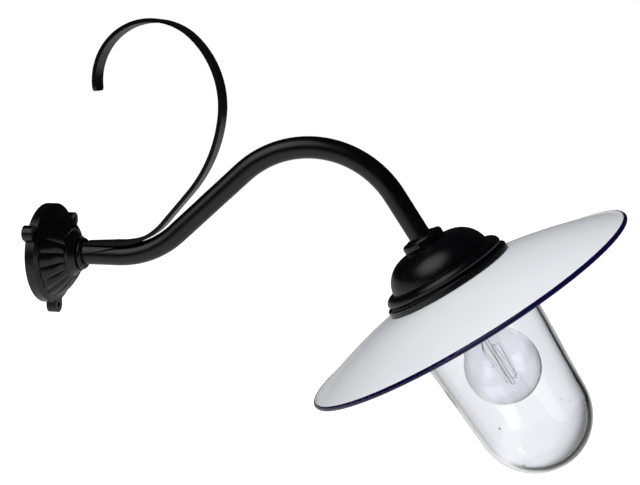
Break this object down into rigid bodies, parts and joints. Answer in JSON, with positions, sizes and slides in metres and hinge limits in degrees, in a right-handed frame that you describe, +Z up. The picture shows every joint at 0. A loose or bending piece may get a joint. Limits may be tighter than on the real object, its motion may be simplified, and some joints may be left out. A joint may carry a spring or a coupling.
{
  "type": "wall sconce",
  "caption": "Gooseneck wall sconce: fluted round wall plate, bent tube arm with a scroll strip, domed cap, wide conical shade and a screw-in glass jar over a lamp.",
  "frame": {"origin": "centre of the wall plate's back face, on the axis of the tube's wall end", "axes": "+X out of the wall along the arm's first run, +Z up, +Y to the left of the arm seen from the wall (the arm lies in the X-Z plane)"},
  "size_m": [0.5849, 0.352, 0.4414],
  "materials": {
    "black_coat": "satin black powder coat",
    "white_enamel": "glossy white vitreous enamel with a blue edge",
    "zinc": "zinc plated",
    "black_steel": "black oxide",
    "zinc_sheet": "zinc plated sheet",
    "holder_metal": "cast and turned",
    "brass": "plain",
    "lamp_brass": "rolled",
    "lamp_solder": "tinned",
    "lamp_insulator": "black glass",
    "porcelain": "glazed porcelain",
    "block_plastic": "moulded",
    "rubber": "moulded",
    "wire_brown": "extruded sleeve",
    "wire_blue": "extruded sleeve",
    "wire_green": "extruded sleeve",
    "jar_glass": "clear thick glass with seed bubbles",
    "lamp_glass": "clear thin glass",
    "stem_glass": "clear",
    "tungsten": "drawn wire",
    "nickel": "drawn wire"
  },
  "bodies": {
    "sconce": {"arm_tube": "black_coat", "scroll_strip": "black_coat", "wall_plate": "black_coat", "cap": "black_coat", "plate_grub_screw": "black_steel", "plate_earth_screw": "zinc", "cap_grub_screw": "black_steel", "terminal_block": "block_plastic", "terminal_inserts": "brass", "terminal_clamp_screws": "zinc", "terminal_block_screws": "zinc", "wall_grommet": "rubber", "head_grommet": "rubber", "wire_line": "wire_brown", "wire_neutral": "wire_blue", "wire_earth": "wire_green", "shade": "white_enamel", "shade_gasket": "rubber", "glass_holder": "holder_metal", "holder_screws": "zinc", "lampholder_bracket": "zinc_sheet", "bracket_screws": "zinc", "lampholder_screws": "zinc", "earth_lug": "brass", "earth_lug_screw": "zinc", "earth_lug_nut": "zinc", "lampholder_body": "porcelain", "lampholder_terminals": "brass", "lampholder_terminal_screws": "zinc", "lampholder_shell": "brass", "centre_contact": "brass", "centre_contact_rivet": "brass"},
    "jar_rise": {"jar_gasket": "rubber"},
    "jar": {"glass_jar": "jar_glass"},
    "lamp_rise": {"lamp_contact": "lamp_solder"},
    "lamp": {"lamp_insulator": "lamp_insulator", "lamp_cap": "lamp_brass", "lamp_glass": "lamp_glass", "lamp_stem": "stem_glass", "lamp_filament": "tungsten", "lamp_supports": "tungsten", "lamp_leads": "nickel"}
  },
  "joints": [
    {"name": "jar_drop", "type": "slide", "parent": "sconce", "child": "jar_rise", "axis": [0.5476, 0, -0.8368], "range_m": [0, 0.009]},
    {"name": "jar_turn", "type": "hinge", "parent": "jar_rise", "child": "jar", "pos_m": [0.39119, 0, 0.03039], "axis": [0.5476, 0, -0.8368], "range_deg": [0, 540]},
    {"name": "lamp_drop", "type": "slide", "parent": "sconce", "child": "lamp_rise", "axis": [0.5476, 0, -0.8368], "range_m": [0, 0.01086]},
    {"name": "lamp_turn", "type": "hinge", "parent": "lamp_rise", "child": "lamp", "pos_m": [0.39119, 0, 0.03039], "axis": [0.5476, 0, -0.8368], "range_deg": [0, 1080]}
  ],
  "couplings": [
    {"joint": "jar_turn", "follows": "jar_drop", "rad_per_m": 1047.2},
    {"joint": "lamp_turn", "follows": "lamp_drop", "rad_per_m": 1735.7}
  ]
}
